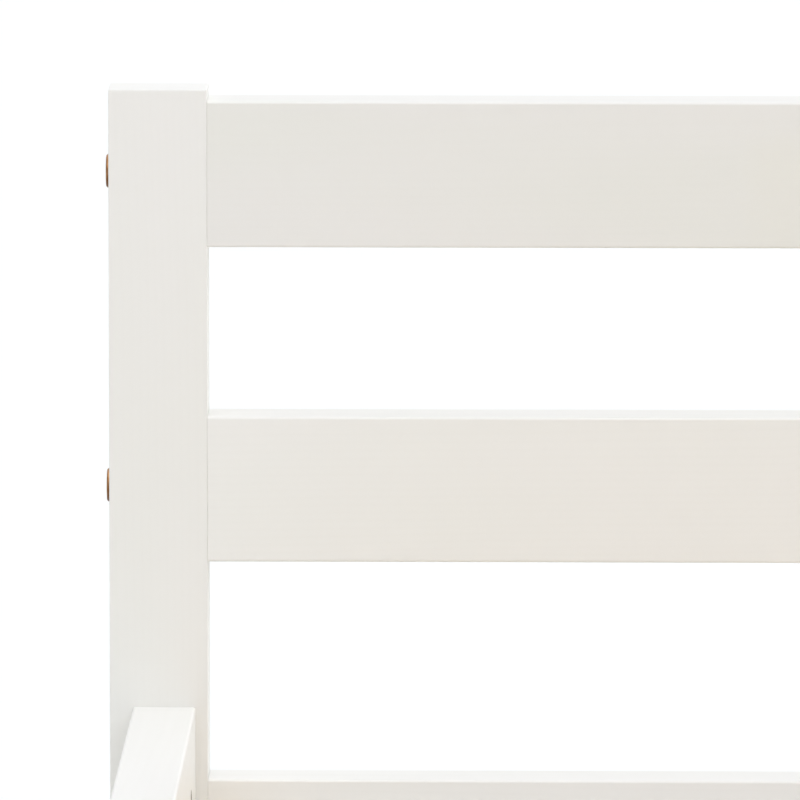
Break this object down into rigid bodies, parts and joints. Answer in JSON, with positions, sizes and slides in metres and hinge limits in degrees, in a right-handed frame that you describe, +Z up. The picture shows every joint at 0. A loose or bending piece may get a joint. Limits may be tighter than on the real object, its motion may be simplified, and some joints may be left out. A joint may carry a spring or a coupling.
{
  "type": "toddler bed",
  "caption": "Low wooden toddler bed: slatted base inside painted side rails, a taller railed head end and a lower railed foot end.",
  "frame": {"origin": "on the floor, under the middle of the bed's overall box", "axes": "+Z up; +Y along the bed towards the taller head end; +X across the bed, to the right as seen from the foot end looking at the head end"},
  "size_m": [0.795, 1.473, 0.6],
  "materials": {
    "white_paint": "satin off-white paint on solid pine, with a faint grain",
    "bare_pine": "bare planed pine",
    "bronze_bolt": "bronze-plated steel",
    "zinc_steel": "zinc-plated steel",
    "beech": "bare beech"
  },
  "bodies": {
    "root": {"head_post_left": "white_paint", "head_post_right": "white_paint", "foot_post_left": "white_paint", "foot_post_right": "white_paint", "head_top_rail": "white_paint", "head_middle_rail": "white_paint", "head_lower_rail": "white_paint", "foot_top_rail": "white_paint", "foot_lower_rail": "white_paint", "side_rail_left": "white_paint", "side_rail_right": "white_paint", "batten_left": "bare_pine", "batten_right": "bare_pine", "slat_01": "bare_pine", "slat_02": "bare_pine", "slat_03": "bare_pine", "slat_04": "bare_pine", "slat_05": "bare_pine", "slat_06": "bare_pine", "slat_07": "bare_pine", "slat_08": "bare_pine", "slat_09": "bare_pine", "slat_10": "bare_pine", "slat_11": "bare_pine", "slat_12": "bare_pine", "slat_13": "bare_pine", "head_frame_bolts": "bronze_bolt", "foot_frame_bolts": "bronze_bolt", "side_rail_bolts": "bronze_bolt", "head_barrel_nuts": "zinc_steel", "foot_barrel_nuts": "zinc_steel", "side_rail_barrel_nuts": "zinc_steel", "slat_screws": "zinc_steel", "batten_screws": "zinc_steel", "head_dowels": "beech", "foot_dowels": "beech", "side_rail_dowels": "beech"}
  },
  "joints": []
}
